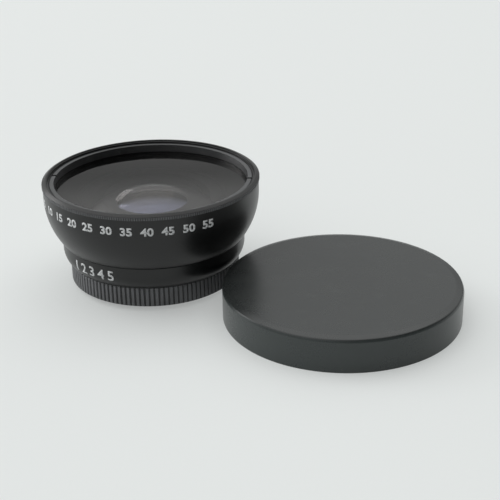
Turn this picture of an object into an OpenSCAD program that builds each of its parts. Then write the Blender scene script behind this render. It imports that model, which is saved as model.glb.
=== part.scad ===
// Wide-angle conversion lens that unscrews into a wide section and a macro section, with its slip-on cap.
// Millimetres, +Z towards the front glass, origin at the rear end of the rear thread, on the lens axis.
// Screw threads are plain cylinders at their outer or inner diameter.

/* [Macro section] */
// Outside diameter of the rear male thread
rear_thread_d = 52; // [51:0.5:54]
// Length of the rear male thread
rear_thread_len = 1.6; // [1.2:0.1:3]
// How far the knurled grip stands out past the rear thread
grip_step = 3.7; // [3:0.1:4]
// Height of the knurled grip
grip_h = 7; // [6.4:0.2:10]
// Number of ribs round the grip
grip_ribs = 114; // [60:6:120]
// Depth of the grooves between the ribs
grip_groove = 0.4; // [0.2:0.05:0.5]
// Height of the rounded shoulder above the grip
shoulder_h = 5; // [4:0.2:7]
// How far the plain collar stands out past the grip
collar_step = 2.2; // [2:0.1:2.6]
// Height of the plain collar
collar_h = 3.2; // [2.6:0.2:6]
// Wall of the rear thread
rear_wall = 2.8; // [2.4:0.1:3.2]
// Depth of the bore through the rear thread
rear_bore_depth = 1.8; // [1.2:0.1:2.4]
// Step from the rear bore in to the clear bore of the ledge
macro_ledge_step = 1.4; // [1:0.1:2]
// Thickness of the ledge that the macro lens sits on
macro_ledge_t = 1.4; // [1:0.1:1.8]

/* [Macro lens] */
// Width of the ledge under the macro lens
macro_seat_w = 2.2; // [1.8:0.1:2.4]
// Thickness of the macro lens at its edge
macro_edge_t = 2.4; // [2:0.1:3]
// Radius of its front face, which bulges forwards
macro_front_r = 68; // [60:1:120]
// Radius of its rear face, which bulges backwards
macro_rear_r = 400; // [250:10:600]
// Step from the lens out to the thread of the ring that holds it
macro_ring_step = 0.6; // [0.4:0.1:1]
// Height of that ring
macro_ring_h = 2; // [1.6:0.1:2.4]
// Width of the ring's lip over the lens
macro_ring_lip = 1.8; // [1.2:0.1:2.4]

/* [Joint thread between the sections] */
// Wall of the collar round the joint thread
joint_wall = 1.9; // [1.6:0.1:2.2]
// Step from the joint thread in to the hollow above the macro lens
joint_step = 2.4; // [2:0.1:2.8]
// Length of the male joint thread
joint_thread_len = 3.6; // [3.2:0.1:4]

/* [Wide section] */
// How far the foot of the bowl stands out past the collar
bowl_foot_step = 0.2; // [0.1:0.05:0.6]
// How far the bowl flares out from its foot to its straight upper wall
bowl_flare = 5.15; // [4.5:0.05:5.8]
// Height of the rounded part of the bowl
bowl_h = 15.2; // [14.8:0.2:18]
// Height of the straight wall above it
bowl_wall_h = 4.1; // [3.6:0.1:6]
// How far the fine band at the rim stands out past the wall
band_step = 0.25; // [0.1:0.05:0.4]
// Height of the fine band
band_h = 1.1; // [0.8:0.1:1.6]
// Height of the bevel above the band
rim_bevel_h = 0.7; // [0.4:0.1:0.8]
// Width of the bevel above the band
rim_bevel_w = 1.15; // [0.6:0.05:1.2]
// Wall of the rim, from the fine band in to the front filter thread
rim_wall = 1.9; // [1.7:0.05:2.2]
// Free length of the front filter thread
front_thread_len = 1; // [0.8:0.1:1.6]

/* [Front lens] */
// Step from the thread of its ring in to the edge of the front lens
front_lens_step = 0.2; // [0.15:0.05:0.5]
// Thickness of the front lens at its edge
front_edge_t = 3.8; // [3.2:0.1:4.4]
// Radius of its front face, which is almost flat
front_face_r = 900; // [600:50:1500]
// Thickness of the front lens at its middle
front_mid_t = 3; // [2:0.1:4]
// Width of the flat seat behind the edge
front_seat_w = 1.9; // [1.2:0.1:2.4]
// Width of the whole taper behind the edge, seat included
front_taper_w = 9.3; // [8.6:0.1:10.4]
// Room between the rear end of the lens and the ledge of the inner lens
front_tail_room = 1.8; // [1:0.1:3]
// Width of the flat land round the hollow rear face
front_land_w = 1.4; // [1:0.1:2]
// Step from the front filter thread in to the thread of the ring that holds the lens
front_ring_step = 0.5; // [0.45:0.05:0.8]
// Height of that ring
front_ring_h = 2.7; // [2.2:0.1:3.2]
// Width of the ring's lip over the lens
front_ring_lip = 1.5; // [1.1:0.1:1.9]
// Width of its two spanner slots
slot_w = 1.2; // [0.8:0.1:2]
// Depth of its two spanner slots
slot_depth = 0.8; // [0.5:0.1:1.5]
// Direction of the slots from +X
slot_angle = -5; // [-90:5:90]

/* [Inner lens] */
// Clear bore of the ledge above the inner lens
inner_bore_d = 30.4; // [29:0.2:32]
// Thickness of that ledge
inner_ledge_t = 1; // [0.8:0.1:1.4]
// Width of the ledge over the lens
inner_seat_w = 1.8; // [1.2:0.1:2.4]
// Thickness of the inner lens at its edge
inner_edge_t = 3.6; // [3:0.1:3.8]
// Radius of its front face, which bulges forwards
inner_front_r = 120; // [100:5:200]
// Radius of its hollow rear face
inner_rear_r = 70; // [66:1:110]
// Step from the lens out to the thread of the ring that holds it
inner_lens_step = 0.6; // [0.4:0.1:1]
// Height of the ring that holds it
inner_ring_h = 1.6; // [1.2:0.1:2]
// Width of the ring's lip under the lens
inner_ring_lip = 1.6; // [1:0.1:2.2]
// Wall of the tubular cell round the inner lens
inner_cell_wall = 1.9; // [1.4:0.1:2.4]
// Wall of the joint thread round the groove outside the cell
joint_inner_wall = 2.2; // [1.8:0.1:2.8]
// Depth of that groove
cell_groove_depth = 4; // [3.4:0.1:4.4]

/* [Cap] */
// Wall of the cap
cap_wall = 1.85; // [1.5:0.05:2.2]
// Height of the cap
cap_h = 11.8; // [8:0.2:16]
// Thickness of its round top
cap_top_t = 1.7; // [1:0.1:3]
// Radius of its rounded top edge
cap_edge_r = 1.1; // [0.5:0.1:1.5]
// Room between the cap and the fine band
cap_fit = 0.25; // [0.1:0.05:0.4]
// Gap on the table between the cap and the lens
cap_gap = 0.5; // [0.4:0.1:20]
// Direction from the lens axis to the cap, in degrees from +X
cap_angle = -27.4; // [-90:0.1:90]

/* [Clearances] */
// Room round each glass in its bore
glass_fit = 0.05; // [0.02:0.01:0.1]
// Room round each screwed ring in its thread
ring_fit = 0.05; // [0.02:0.01:0.1]
// Room round the joint thread, which turns
joint_fit = 0.08; // [0.05:0.01:0.1]
// Room past the end of each thread
end_room = 0.4; // [0.2:0.1:0.5]
// Room round the bevelled flank of the front lens
flank_room = 0.6; // [0.4:0.1:0.8]
// Small bevel on turned edges
edge_bevel = 0.3; // [0.1:0.05:0.4]

/* [Hidden] */
$fn = 180;
// How far a cut reaches past the face that it starts from
cut_past = 1;
anodised = [0.07, 0.07, 0.075];
ring_black = [0.1, 0.1, 0.11];
glass = [0.62, 0.64, 0.66, 0.45];
cap_grey = [0.24, 0.24, 0.25];

grip_z = rear_thread_len;
shoulder_z = grip_z + grip_h;
collar_z = shoulder_z + shoulder_h;
seam_z = collar_z + collar_h;
bowl_wall_z = seam_z + bowl_h;
band_z = bowl_wall_z + bowl_wall_h;
rim_bevel_z = band_z + band_h;
rim_z = rim_bevel_z + rim_bevel_h;

rear_thread_r = rear_thread_d / 2;
grip_r = rear_thread_r + grip_step;
collar_r = grip_r + collar_step;
joint_thread_r = collar_r - joint_wall;
macro_hollow_r = joint_thread_r - joint_step;
rear_bore_r = rear_thread_r - rear_wall;
macro_bore_r = rear_bore_r - macro_ledge_step;
macro_lens_r = macro_bore_r + macro_seat_w;
macro_ring_r = macro_lens_r + macro_ring_step;
macro_ring_bore_r = macro_lens_r - macro_ring_lip;

bowl_foot_r = collar_r + bowl_foot_step;
bowl_r = bowl_foot_r + bowl_flare;
bowl_arc_r = (pow(bowl_flare, 2) + pow(bowl_h, 2)) / (2 * bowl_flare);
band_r = bowl_r + band_step;
front_thread_r = band_r - rim_wall;
front_ring_r = front_thread_r - front_ring_step;
front_lens_r = front_ring_r - front_lens_step;
front_ring_bore_r = front_lens_r - front_ring_lip;
front_tail_r = front_lens_r - front_taper_w;

inner_bore_r = inner_bore_d / 2;
inner_lens_r = inner_bore_r + inner_seat_w;
inner_ring_r = inner_lens_r + inner_lens_step;
inner_ring_bore_r = inner_lens_r - inner_ring_lip;
inner_cell_r = inner_ring_r + inner_cell_wall;
cell_groove_r = joint_thread_r - joint_inner_wall;

macro_seat_z = rear_bore_depth + macro_ledge_t;
macro_ring_z = macro_seat_z + macro_edge_t;
macro_hollow_z = macro_ring_z + macro_ring_h + end_room;
joint_end_z = seam_z - joint_thread_len;
joint_bore_z = joint_end_z - end_room;

inner_ring_z = joint_end_z + end_room;
inner_edge_z = inner_ring_z + inner_ring_h;
inner_ledge_z = inner_edge_z + inner_edge_t;
inner_throat_z = inner_ledge_z + inner_ledge_t;

front_ring_top_z = rim_z - front_thread_len;
front_edge_top_z = front_ring_top_z - front_ring_h;
front_seat_z = front_edge_top_z - front_edge_t;
front_tail_z = inner_throat_z + front_tail_room;
front_face_sag = front_face_r - sqrt(pow(front_face_r, 2) - pow(front_ring_bore_r, 2));
front_hollow_r = front_tail_r - front_land_w;
front_hollow_sag = front_edge_top_z + front_face_sag - front_mid_t - front_tail_z;
front_rear_r = (pow(front_hollow_r, 2) + pow(front_hollow_sag, 2)) / (2 * front_hollow_sag);

cap_inner_r = band_r + cap_fit;
cap_r = cap_inner_r + cap_wall;
cap_reach = collar_r + cap_gap + cap_r;

// Half section of a ring with bevelled outer edges, from z up by h
module ring_section(outer_r, inner_r, z, h, bevel) {
    polygon([
        [inner_r, z],
        [outer_r - bevel, z],
        [outer_r, z + bevel],
        [outer_r, z + h - bevel],
        [outer_r - bevel, z + h],
        [inner_r, z + h]
    ]);
}

// Star-shaped blank whose points are the crests of the ribs
module rib_blank(crest_r, groove, count, z, h) {
    step = 360 / count;
    points = [
        for (i = [0 : count - 1])
            for (corner = [[0, crest_r - groove], [0.3, crest_r], [0.7, crest_r]])
                let (a = (i + corner[0]) * step)
                corner[1] * [cos(a), sin(a)]
    ];
    translate([0, 0, z]) linear_extrude(h) polygon(points);
}

// Half section of the rounded shoulder, from the grip up to the collar
module shoulder_section() {
    drop = collar_r - grip_r;
    arc_r = (pow(drop, 2) + pow(shoulder_h, 2)) / (2 * drop);
    intersection() {
        translate([collar_r - arc_r, collar_z]) circle(r = arc_r);
        translate([0, shoulder_z]) square([collar_r, shoulder_h]);
    }
    translate([0, shoulder_z]) square([grip_r, shoulder_h]);
}

// Half section of the plain collar, bevelled at its top edge
module collar_section() {
    polygon([
        [0, collar_z],
        [collar_r, collar_z],
        [collar_r, seam_z - edge_bevel],
        [collar_r - edge_bevel, seam_z],
        [0, seam_z]
    ]);
}

// Half section of the bowl, from its foot to the foot of the fine band
module bowl_section() {
    intersection() {
        translate([bowl_r - bowl_arc_r, bowl_wall_z]) circle(r = bowl_arc_r);
        translate([0, seam_z]) square([bowl_r, bowl_h]);
    }
    translate([0, bowl_wall_z]) square([bowl_r, bowl_wall_h]);
}

// Half section of the fine band and the bevel above it
module band_section() {
    polygon([
        [0, band_z],
        [band_r, band_z],
        [band_r, rim_bevel_z],
        [band_r - rim_bevel_w, rim_z],
        [0, rim_z]
    ]);
}

// Half section of everything that is bored out of the rear section
module macro_bore_section() {
    polygon([
        [0, -cut_past],
        [rear_bore_r, -cut_past],
        [rear_bore_r, rear_bore_depth],
        [macro_bore_r, rear_bore_depth],
        [macro_bore_r, macro_seat_z],
        [macro_lens_r + glass_fit, macro_seat_z],
        [macro_lens_r + glass_fit, macro_ring_z],
        [macro_ring_r + ring_fit, macro_ring_z],
        [macro_ring_r + ring_fit, macro_hollow_z],
        [macro_hollow_r, macro_hollow_z],
        [macro_hollow_r, joint_bore_z],
        [joint_thread_r + joint_fit, joint_bore_z],
        [joint_thread_r + joint_fit, seam_z + cut_past],
        [0, seam_z + cut_past]
    ]);
}

// Rear section: thread, knurled grip, shoulder and collar in one turned piece
module macro_barrel() {
    color(anodised) {
        difference() {
            intersection() {
                rib_blank(grip_r, grip_groove, grip_ribs, grip_z, grip_h);
                rotate_extrude() ring_section(grip_r, 0, grip_z, grip_h, edge_bevel);
            }
            rotate_extrude() macro_bore_section();
        }
        rotate_extrude() difference() {
            union() {
                square([rear_thread_r, grip_z]);
                shoulder_section();
                collar_section();
            }
            macro_bore_section();
        }
    }
}

// Close-up lens of the rear section, bulging on both sides
module macro_lens() {
    color(glass) rotate_extrude() intersection() {
        square([macro_lens_r, seam_z]);
        translate([0, macro_ring_z - sqrt(pow(macro_front_r, 2) - pow(macro_ring_bore_r, 2))])
            circle(r = macro_front_r, $fn = 720);
        translate([0, macro_seat_z + sqrt(pow(macro_rear_r, 2) - pow(macro_bore_r, 2))])
            circle(r = macro_rear_r, $fn = 2160);
    }
}

// Screwed ring that holds the close-up lens
module macro_lens_ring() {
    color(ring_black) difference() {
        rotate_extrude() ring_section(macro_ring_r, macro_ring_bore_r, macro_ring_z, macro_ring_h, edge_bevel);
        spanner_slots(macro_ring_r, macro_ring_z + macro_ring_h);
    }
}

// Two slots across a ring, open at height z
module spanner_slots(reach, z) {
    translate([0, 0, z]) rotate(slot_angle)
        cube([2 * (reach + cut_past), slot_w, 2 * slot_depth], center = true);
}

// Half section of everything that is bored out of the front section
module wide_bore_section() {
    polygon([
        [0, joint_end_z - cut_past],
        [inner_ring_r + ring_fit, joint_end_z - cut_past],
        [inner_ring_r + ring_fit, inner_edge_z],
        [inner_lens_r + glass_fit, inner_edge_z],
        [inner_lens_r + glass_fit, inner_ledge_z],
        [inner_bore_r, inner_ledge_z],
        [inner_bore_r, inner_throat_z],
        [front_tail_r + flank_room, front_tail_z],
        [front_lens_r - front_seat_w + flank_room, front_seat_z],
        [front_lens_r + glass_fit, front_seat_z],
        [front_lens_r + glass_fit, front_edge_top_z],
        [front_ring_r + ring_fit, front_edge_top_z],
        [front_ring_r + ring_fit, front_ring_top_z],
        [front_thread_r, front_ring_top_z],
        [front_thread_r, rim_z - edge_bevel / 2],
        [front_thread_r + edge_bevel / 2, rim_z],
        [front_thread_r + edge_bevel / 2, rim_z + cut_past],
        [0, rim_z + cut_past]
    ]);
}

// Front section: joint thread, bowl and rim in one turned piece
module wide_barrel() {
    color(anodised) rotate_extrude() difference() {
        union() {
            ring_section(joint_thread_r, 0, joint_end_z, joint_thread_len + edge_bevel, edge_bevel);
            bowl_section();
            band_section();
        }
        wide_bore_section();
        translate([inner_cell_r, joint_end_z - cut_past])
            square([cell_groove_r - inner_cell_r, cell_groove_depth + cut_past]);
    }
}

// Second lens of the front section, bulging forwards and hollow behind
module inner_lens() {
    color(glass) rotate_extrude() difference() {
        intersection() {
            translate([0, inner_edge_z]) square([inner_lens_r, band_z - inner_edge_z]);
            translate([0, inner_ledge_z - sqrt(pow(inner_front_r, 2) - pow(inner_bore_r, 2))])
                circle(r = inner_front_r, $fn = 720);
        }
        translate([0, inner_edge_z - sqrt(pow(inner_rear_r, 2) - pow(inner_ring_bore_r, 2))])
            circle(r = inner_rear_r, $fn = 720);
    }
}

// Screwed ring that holds the second lens
module inner_lens_ring() {
    color(ring_black) difference() {
        rotate_extrude() ring_section(inner_ring_r, inner_ring_bore_r, inner_ring_z, inner_ring_h, edge_bevel);
        spanner_slots(inner_ring_r, inner_ring_z);
    }
}

// Large front lens: slightly domed in front, deeply hollow behind
module front_lens() {
    color(glass) rotate_extrude() difference() {
        intersection() {
            polygon([
                [0, front_tail_z],
                [front_tail_r, front_tail_z],
                [front_lens_r - front_seat_w, front_seat_z],
                [front_lens_r, front_seat_z],
                [front_lens_r, rim_z],
                [0, rim_z]
            ]);
            translate([0, front_edge_top_z + front_face_sag - front_face_r])
                circle(r = front_face_r, $fn = 2880);
        }
        translate([0, front_tail_z + front_hollow_sag - front_rear_r])
            circle(r = front_rear_r, $fn = 360);
    }
}

// Screwed ring that holds the front lens, with two spanner slots in its front face
module front_lens_ring() {
    color(ring_black) difference() {
        rotate_extrude()
            ring_section(front_ring_r, front_ring_bore_r, front_edge_top_z, front_ring_h, edge_bevel);
        spanner_slots(front_ring_r, front_ring_top_z);
    }
}

// Slip-on cap, lying open side down beside the lens
module front_cap() {
    inner_h = cap_h - cap_top_t;
    color(cap_grey) translate(cap_reach * [cos(cap_angle), sin(cap_angle), 0]) rotate_extrude() {
        difference() {
            union() {
                square([cap_r, cap_h - cap_edge_r]);
                square([cap_r - cap_edge_r, cap_h]);
                translate([cap_r - cap_edge_r, cap_h - cap_edge_r]) circle(r = cap_edge_r, $fn = 48);
            }
            translate([0, -cut_past]) square([cap_inner_r, inner_h + cut_past]);
        }
    }
}

macro_barrel();
macro_lens();
macro_lens_ring();
wide_barrel();
inner_lens();
inner_lens_ring();
front_lens();
front_lens_ring();
front_cap();
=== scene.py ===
"""Looks of a wide-angle conversion lens and its slip-on cap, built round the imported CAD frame.

The lens stands on its rear thread with the axis on Z. Every turned piece is spun from a half section.
Ribs and threads are Geometry Nodes trees, turned into plain meshes.
Named sizes are millimetres unless their heading says otherwise, and sizes on the panel are metres.
"""
import math

import bmesh
import bpy
from mathutils import Matrix, Vector


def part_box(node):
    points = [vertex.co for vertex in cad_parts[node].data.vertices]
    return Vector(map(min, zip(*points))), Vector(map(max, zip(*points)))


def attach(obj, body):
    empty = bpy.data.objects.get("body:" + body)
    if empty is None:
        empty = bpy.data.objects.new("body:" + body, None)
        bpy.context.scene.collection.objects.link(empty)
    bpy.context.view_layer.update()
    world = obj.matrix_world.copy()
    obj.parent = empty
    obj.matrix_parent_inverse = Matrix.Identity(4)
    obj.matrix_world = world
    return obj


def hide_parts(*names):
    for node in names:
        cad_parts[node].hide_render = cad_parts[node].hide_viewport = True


bl_info = {
    "name": "Wide-angle conversion lens",
    "version": (1, 0, 0),
    "blender": (4, 5, 0),
    "location": "View3D > Sidebar > Lens",
    "description": "Builds the glasses, barrels, rings and cap of a conversion lens on its CAD frame",
    "category": "Object",
}

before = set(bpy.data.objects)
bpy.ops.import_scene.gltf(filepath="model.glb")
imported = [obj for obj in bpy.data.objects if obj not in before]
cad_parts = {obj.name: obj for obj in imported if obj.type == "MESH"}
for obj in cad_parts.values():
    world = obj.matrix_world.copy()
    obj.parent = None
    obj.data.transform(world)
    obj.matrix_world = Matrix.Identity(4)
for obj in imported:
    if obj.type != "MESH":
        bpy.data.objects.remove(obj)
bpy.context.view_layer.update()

MM = 0.001

# Macro section: radii from the lens axis and heights above the table
REAR_THREAD_R = 26.0
GRIP_FOOT_Z = 1.6
GRIP_R = 29.7
SHOULDER_Z = 8.6
COLLAR_Z = 13.6
COLLAR_R = 31.9
SEAM_Z = 16.8
REAR_BORE_R, REAR_BORE_Z = 23.2, 1.8
MACRO_BORE_R, MACRO_SEAT_Z = 21.8, 3.2
MACRO_LENS_R, MACRO_RING_Z = 24.0, 5.6
MACRO_RING_R, MACRO_RING_BORE_R, MACRO_RING_TOP_Z = 24.6, 22.2, 7.6
MACRO_HOLLOW_R, MACRO_HOLLOW_Z = 27.6, 8.0
MACRO_FRONT_CURVE, MACRO_REAR_CURVE = 68.0, 400.0
JOINT_BORE_R, JOINT_BORE_Z = 30.08, 12.8

# Wide section
JOINT_R, JOINT_END_Z = 30.0, 13.2
BOWL_FOOT_R = 32.1
BOWL_R, BOWL_WALL_Z = 37.25, 32.0
BAND_Z, BAND_R = 36.1, 37.5
RIM_BEVEL_Z, RIM_BEVEL_R, RIM_Z = 37.2, 36.35, 37.9
FRONT_THREAD_R = 35.6
FRONT_RING_R, FRONT_RING_BORE_R = 35.1, 33.4
FRONT_RING_Z, FRONT_RING_TOP_Z = 34.2, 36.9
FRONT_LENS_R, FRONT_SEAT_R, FRONT_SEAT_Z = 34.9, 33.0, 30.4
FRONT_TAIL_R, FRONT_TAIL_Z, FRONT_HOLLOW_R = 25.6, 21.6, 24.2
FRONT_FACE_CURVE, FRONT_MID_T = 900.0, 3.0
INNER_BORE_R, THROAT_Z = 15.2, 19.8
INNER_LENS_R, INNER_EDGE_Z, INNER_LEDGE_Z = 17.0, 15.2, 18.8
INNER_FRONT_CURVE, INNER_REAR_CURVE = 120.0, 70.0
INNER_RING_R, INNER_RING_BORE_R, INNER_RING_Z = 17.6, 15.4, 13.6
CELL_R, CELL_GROOVE_R, CELL_GROOVE_Z = 19.5, 27.8, 17.2
GLASS_FIT = 0.05
FLANK_ROOM = 0.6
SLOT_W, SLOT_DEPTH, SLOT_OVERRUN = 1.2, 0.8, 1.0
SLOT_ANGLE = math.radians(-5)

# Leaning arcs, each from its upright top to its foot as (r, z)
SHOULDER = ((COLLAR_R, COLLAR_Z), (GRIP_R, SHOULDER_Z))
BOWL = ((BOWL_R, BOWL_WALL_Z), (BOWL_FOOT_R, SEAM_Z))

# Fillets and bevels of the turned pieces, and the largest share of an edge that a fillet takes
LEDGE_FILLET, EDGE_FILLET, FOOT_FILLET = 0.06, 0.12, 0.14
GLASS_FILLET, GLASS_STEP_FILLET = 0.1, 0.15
RING_BEVEL, RING_FILLET = 0.3, 0.08
COLLAR_BEVEL, COLLAR_FILLET = 0.3, 0.2
BAND_LIP_H, BAND_LIP_T = 0.12, 0.02
RIM_FILLET, FILTER_BEVEL, FLANK_FILLET = 0.08, 0.15, 0.3
FILLET_SHARE = 0.45

# Ribs: widths as shares of their spacing and of their foot, the rest in millimetres
GRIP_RIB_FOOT, GRIP_RIB_CREST, GRIP_RIB_BEVEL = 0.76, 0.66, 0.3
BAND_RIB_FOOT, BAND_RIB_CREST, BAND_RIB_BEVEL = 0.66, 0.7, 0.1
RIB_SINK = 0.1

# Screw threads: the plain lengths left at each end, the filter thread's height, and the shape of a ridge
REAR_LEAD, REAR_RUN_OUT = 0.42, 0.4
JOINT_LEAD, JOINT_RUN_OUT = 0.45, 0.5
FILTER_LEAD, FILTER_RUN_OUT = 0.1, 0.42
FILTER_RIDGE = 0.2
THREAD_CREST_SHARE = 0.12
THREAD_FADES_A_TURN = 8.0
THREAD_THINNEST = 0.02

# Cap
CAP_X = sum(corner.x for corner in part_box("front_cap")) / 2 / MM
CAP_Y = sum(corner.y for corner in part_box("front_cap")) / 2 / MM
CAP_R, CAP_INNER_R = 39.6, 37.75
CAP_H, CAP_TOP_T = 11.8, 1.7
CAP_ROLL_W, CAP_ROLL_FILLET = 2.6, 2.0
CAP_CORNER_W, CAP_CORNER_DROP, CAP_CORNER_FILLET = 0.35, 0.55, 0.9
CAP_SIDE_DROP, CAP_SIDE_FILLET = 1.5, 0.6
CAP_LIP_FILLET, CAP_LIP_INNER_FILLET, CAP_INSIDE_FILLET = 0.2, 0.3, 0.5

# Printed numbers: angles in degrees, the scales' from the direction of the photographer
FRONT_ANGLE = -84.8
BOWL_PRINT_START, BOWL_PRINT_STEP, BOWL_PRINT_COUNT = -77.0, 10.5, 11
BOWL_PRINT_UNIT, BOWL_PRINT_BOLD, BOWL_PRINT_WIDEN = 5, 0.034, 1.12
COLLAR_PRINT_START, COLLAR_PRINT_STEP, COLLAR_PRINT_COUNT = -56.5, 7.0, 5
COLLAR_PRINT_UNIT, COLLAR_PRINT_BOLD, COLLAR_PRINT_WIDEN = 1, 0.016, 1.1
INK_T, INK_SUNK = 0.03, 0.6

# Surroundings: the dark side fades out between two cosines, and the low part between two angles
DARK_SIDE = Vector((0.70, -0.57, 0.42)).normalized()
DARK_EDGE, DARK_CORE = 0.3, 0.9
HORIZON_LOW, HORIZON_HIGH = math.radians(18.7), math.radians(25.5)
ROOM_TINT = (0.98, 1.0, 0.995, 1)

# Lamps, floor and camera, in metres except the sensor
WINDOW_PLACE, WINDOW_SIZE = (-3.0, 1.5, 1.2), (2.6, 2.0)
OVERHEAD_PLACE, OVERHEAD_SIZE = (0.0, 0.3, 1.5), (2.2, 1.8)
LAMP_AIM = Vector((0.03, 0, 0.02))
FLOOR_HALF = 4.0
CLIP_START = 0.01
SENSOR_W = 36.0

# Finishes, with the depth of the turned marks in metres
METAL_MARKS, KNURL_MARKS, RING_MARKS = 0.0000016, 0.0000008, 0.000003
KNURL_ROUGHNESS, RING_POLISH = 0.42, 0.04
METAL_IOR, PLASTIC_IOR, FRONT_IOR, INNER_IOR = 1.5, 1.49, 1.52, 1.62
DUST_COLOUR = (0.3, 0.3, 0.3)

# Shape tests: a radius that counts as none, a span in holds that counts as long, and an upward face
ON_AXIS = 1e-6
LONG_SPAN = 5
FACING_UP = 0.5
QUARTER = math.pi / 2


# Sizes and colours on the panel

class LensSizes(bpy.types.PropertyGroup):
    """Sizes of the fine detail that the CAD solids leave plain"""
    spin_steps: bpy.props.IntProperty(
        name="Steps round a turned piece", description="Faces round each turned piece",
        default=288, min=96, max=360)
    grip_ribs: bpy.props.IntProperty(
        name="Grip ribs", description="Ribs round the knurled grip", default=114, min=60, max=160)
    grip_groove: bpy.props.FloatProperty(
        name="Grip groove", description="Depth of the grooves between the grip's ribs",
        default=0.0004, unit="LENGTH", precision=5)
    band_ribs: bpy.props.IntProperty(
        name="Band ribs", description="Fine ribs round the rim band", default=302, min=200, max=480)
    band_groove: bpy.props.FloatProperty(
        name="Band groove", description="Depth of the grooves between the band's ribs",
        default=0.00021, unit="LENGTH", precision=5)
    thread_pitch: bpy.props.FloatProperty(
        name="Thread pitch", description="Rise of each screw thread for one turn",
        default=0.00075, unit="LENGTH", precision=5)
    thread_depth: bpy.props.FloatProperty(
        name="Thread depth", description="Height of each thread's ridge",
        default=0.00038, unit="LENGTH", precision=5)
    bowl_figure_h: bpy.props.FloatProperty(
        name="Bowl figures", description="Height of the numbers printed on the bowl",
        default=0.0029, unit="LENGTH", precision=5)
    bowl_figure_z: bpy.props.FloatProperty(
        name="Bowl print line", description="Height of the bowl's printed line above the table",
        default=0.0307, unit="LENGTH", precision=5)
    collar_figure_h: bpy.props.FloatProperty(
        name="Collar figures", description="Height of the numbers printed on the collar",
        default=0.0037, unit="LENGTH", precision=5)
    collar_figure_z: bpy.props.FloatProperty(
        name="Collar print line", description="Height of the collar's printed line above the table",
        default=0.0112, unit="LENGTH", precision=5)


class LensFinish(bpy.types.PropertyGroup):
    """Colours and polish of the pieces"""
    anodised: bpy.props.FloatVectorProperty(
        name="Anodised metal", description="Colour of the black anodised barrels",
        subtype="COLOR", default=(0.0018, 0.0019, 0.0021), min=0, max=1)
    anodised_roughness: bpy.props.FloatProperty(
        name="Anodised roughness", description="How matt the barrels are",
        subtype="FACTOR", default=0.28, min=0, max=1)
    # Painted reflection: the ribs are coloured far lighter than the barrels to stand in for the bright floor
    # reflected in them
    knurl_painted_reflection: bpy.props.FloatVectorProperty(
        name="Knurled metal", description="Colour of the ribs, where handling has dulled the finish",
        subtype="COLOR", default=(0.15, 0.152, 0.158), min=0, max=1)
    ring: bpy.props.FloatVectorProperty(
        name="Ring metal", description="Colour of the retaining rings",
        subtype="COLOR", default=(0.055, 0.056, 0.058), min=0, max=1)
    cap: bpy.props.FloatVectorProperty(
        name="Cap plastic", description="Colour of the slip-on cap",
        subtype="COLOR", default=(0.028, 0.031, 0.0305), min=0, max=1)
    # Painted reflection: the cap's side is coloured lighter than its top to stand in for the floor reflected
    # in it
    cap_side_painted_reflection: bpy.props.FloatVectorProperty(
        name="Cap side", description="Colour of the cap's side, which handling has dulled",
        subtype="COLOR", default=(0.053, 0.063, 0.0622), min=0, max=1)
    cap_roughness: bpy.props.FloatProperty(
        name="Cap roughness", description="How matt the cap is",
        subtype="FACTOR", default=0.22, min=0, max=1)
    ink: bpy.props.FloatVectorProperty(
        name="White print", description="Colour of the printed numbers",
        subtype="COLOR", default=(0.93, 0.94, 0.95), min=0, max=1)
    front_coating: bpy.props.FloatVectorProperty(
        name="Front coating", description="Tint of the front glass's reflections",
        subtype="COLOR", default=(0.36, 0.31, 0.29), min=0, max=1)
    front_body: bpy.props.FloatVectorProperty(
        name="Front glass", description="Colour of light that has passed the front glass",
        subtype="COLOR", default=(0.99, 0.985, 0.98), min=0, max=1)
    inner_body: bpy.props.FloatVectorProperty(
        name="Inner glasses", description="Colour of light that has passed an inner glass",
        subtype="COLOR", default=(0.29, 0.285, 0.345), min=0, max=1)
    inner_coating: bpy.props.FloatVectorProperty(
        name="Inner coating", description="Tint of the inner glasses' reflections",
        subtype="COLOR", default=(0.7, 0.74, 1.0), min=0, max=1)


class StageSettings(bpy.types.PropertyGroup):
    """Camera, light and floor"""
    camera_place: bpy.props.FloatVectorProperty(
        name="Camera place", description="Where the camera stands", subtype="XYZ", unit="LENGTH",
        default=(0.03374, -0.37258, 0.17865), precision=5)
    camera_pitch: bpy.props.FloatProperty(
        name="Camera pitch", description="How far the camera looks down", subtype="ANGLE",
        default=math.radians(24.566))
    camera_roll: bpy.props.FloatProperty(
        name="Camera roll", description="How far the camera leans to its right", subtype="ANGLE",
        default=math.radians(1.057))
    focal_length: bpy.props.FloatProperty(
        name="Focal length", description="Lens of the camera, on a sensor 36 mm wide",
        default=82.8, min=20, max=200)
    floor: bpy.props.FloatVectorProperty(
        name="Floor", description="Colour of the plain pale floor", subtype="COLOR",
        default=(0.47, 0.483, 0.478), min=0, max=1)
    floor_glow: bpy.props.FloatProperty(
        name="Floor paleness", description="How much paler the floor looks than its own colour",
        subtype="FACTOR", default=0.7, min=0, max=1)
    room: bpy.props.FloatProperty(
        name="Room light", description="Brightness of the pale side of the surroundings",
        default=0.88, min=0, max=2)
    shade: bpy.props.FloatProperty(
        name="Shaded side", description="Brightness of the surroundings in front on the right",
        default=0.05, min=0, max=2)
    horizon: bpy.props.FloatProperty(
        name="Horizon", description="Share of the room light that is left low down", subtype="FACTOR",
        default=0.42, min=0, max=1)
    window: bpy.props.FloatProperty(
        name="Left window", description="Power of the large soft light on the left", subtype="POWER",
        default=45.0)
    overhead: bpy.props.FloatProperty(
        name="Overhead light", description="Power of the soft light overhead", subtype="POWER", default=9.0)


# Turned pieces

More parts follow.
